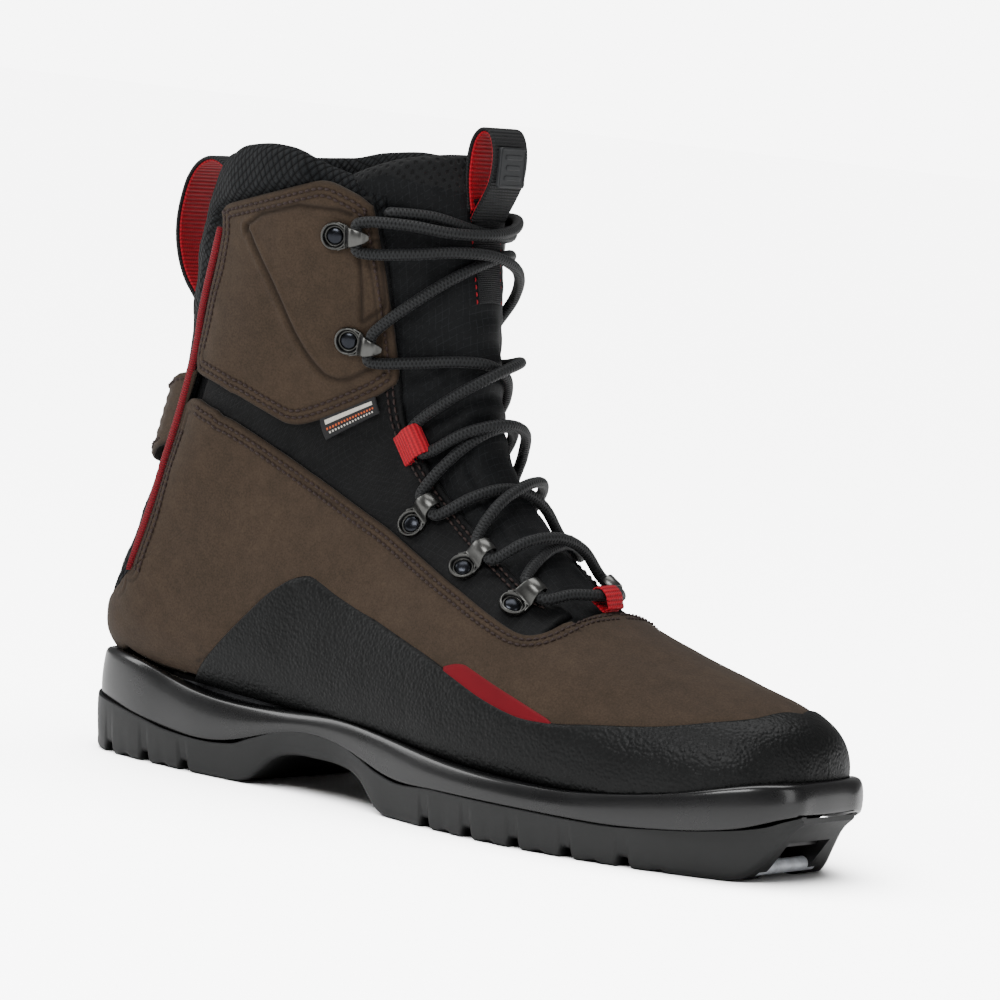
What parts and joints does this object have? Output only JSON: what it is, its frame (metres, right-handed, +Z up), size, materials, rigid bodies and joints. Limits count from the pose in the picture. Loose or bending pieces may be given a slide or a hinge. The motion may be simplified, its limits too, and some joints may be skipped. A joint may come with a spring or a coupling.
{
  "type": "backcountry ski-touring boot",
  "caption": "Right-foot leather and fabric touring boot with lace-up shaft, moulded sole, steel toe bar, flexing ankle, tongue pull tab and lift-out footbed.",
  "frame": {"origin": "centre of the bounding box's bottom face, on the floor under the middle of the sole", "axes": "+X towards the toe along the sole's length, +Y towards the inner (medial) side of this right boot, +Z up"},
  "size_m": [0.3116, 0.104, 0.2375],
  "materials": {
    "outsole_rubber": "matte moulded rubber",
    "frame_plastic": "semi-gloss moulded plastic",
    "insert_plastic": "matte nylon",
    "zinc_steel": "zinc plated pin",
    "shank_steel": "spring steel strip",
    "midsole_foam": "firm foam, matte",
    "board_fibre": "pressed fibre board",
    "nubuck": "brown nubuck, matte nap",
    "rand_rubber": "pebbled rubber film",
    "accent_red": "satin crimson film",
    "ripstop": "black ripstop weave",
    "stiffener": "thermoplastic sheet",
    "collar_fabric": "black 3-D mesh",
    "foam": "open-cell foam",
    "piping_red": "crimson cord piping",
    "lining_fabric": "brushed knit lining",
    "footbed_fabric": "felt-topped foam footbed",
    "web_black": "black webbing",
    "web_red": "bright red webbing",
    "patch_rubber": "soft moulded rubber",
    "hardware": "antique nickel",
    "rivet_metal": "dark nickel",
    "lace_cord": "round braided cord",
    "aglet": "clear-coated tip",
    "label_woven": "woven label with plain stripes"
  },
  "bodies": {
    "foot": {"outsole": "outsole_rubber", "toe_insert": "insert_plastic", "toe_bar": "zinc_steel", "sole_frame": "frame_plastic", "midsole_core": "midsole_foam", "shank": "shank_steel", "insole_board": "board_fibre", "lower_leather": "nubuck", "rubber_rand": "rand_rubber", "accent_lateral": "accent_red", "accent_medial": "accent_red", "shaft_shell_lateral": "ripstop", "shaft_shell_medial": "ripstop", "heel_counter": "stiffener", "toe_puff": "stiffener", "back_strip": "collar_fabric", "piping_lateral": "piping_red", "piping_medial": "piping_red", "achilles_band": "nubuck", "bootie_lining": "lining_fabric", "tongue_shell": "ripstop", "tongue_padding": "foam", "tongue_lining": "lining_fabric", "lower_eyelets_lateral": "hardware", "lower_eyelets_medial": "hardware", "eyelet_rivets": "rivet_metal", "loop_lateral": "web_red", "loop_medial": "web_red", "throat_loop": "web_red", "lace": "lace_cord"},
    "cuff": {"cuff_leather_lateral": "nubuck", "cuff_leather_medial": "nubuck", "collar_mesh": "collar_fabric", "collar_foam": "foam", "tongue_strap": "web_black", "heel_pull_tab": "web_black", "heel_tab_lining": "web_red", "upper_hooks_lateral": "hardware", "upper_hooks_medial": "hardware", "hook_rivets": "rivet_metal", "lace_aglets": "aglet", "side_label": "label_woven"},
    "tongue_tab": {"tongue_pull_tab": "web_black", "tongue_tab_lining": "web_red", "tab_patch": "patch_rubber"},
    "footbed": {"footbed": "footbed_fabric"}
  },
  "joints": [
    {"name": "ankle_flex", "type": "hinge", "parent": "foot", "child": "cuff", "pos_m": [-0.0892, -0.001, 0.105], "axis": [0, 1, 0], "range_deg": [-6, 14], "stiffness_Nm_per_rad": 12, "deforming": ["shaft_shell_lateral", "shaft_shell_medial", "back_strip", "piping_lateral", "piping_medial", "bootie_lining", "tongue_shell", "tongue_padding", "tongue_lining", "lace"]},
    {"name": "tongue_tab_fold", "type": "hinge", "parent": "cuff", "child": "tongue_tab", "pos_m": [-0.0112, -0.001, 0.2042], "axis": [0, 1, 0], "range_deg": [-2, 26], "stiffness_Nm_per_rad": 0.03},
    {"name": "footbed_lift", "type": "slide", "parent": "foot", "child": "footbed", "axis": [0, 0, 1], "range_m": [0, 0.008]}
  ]
}
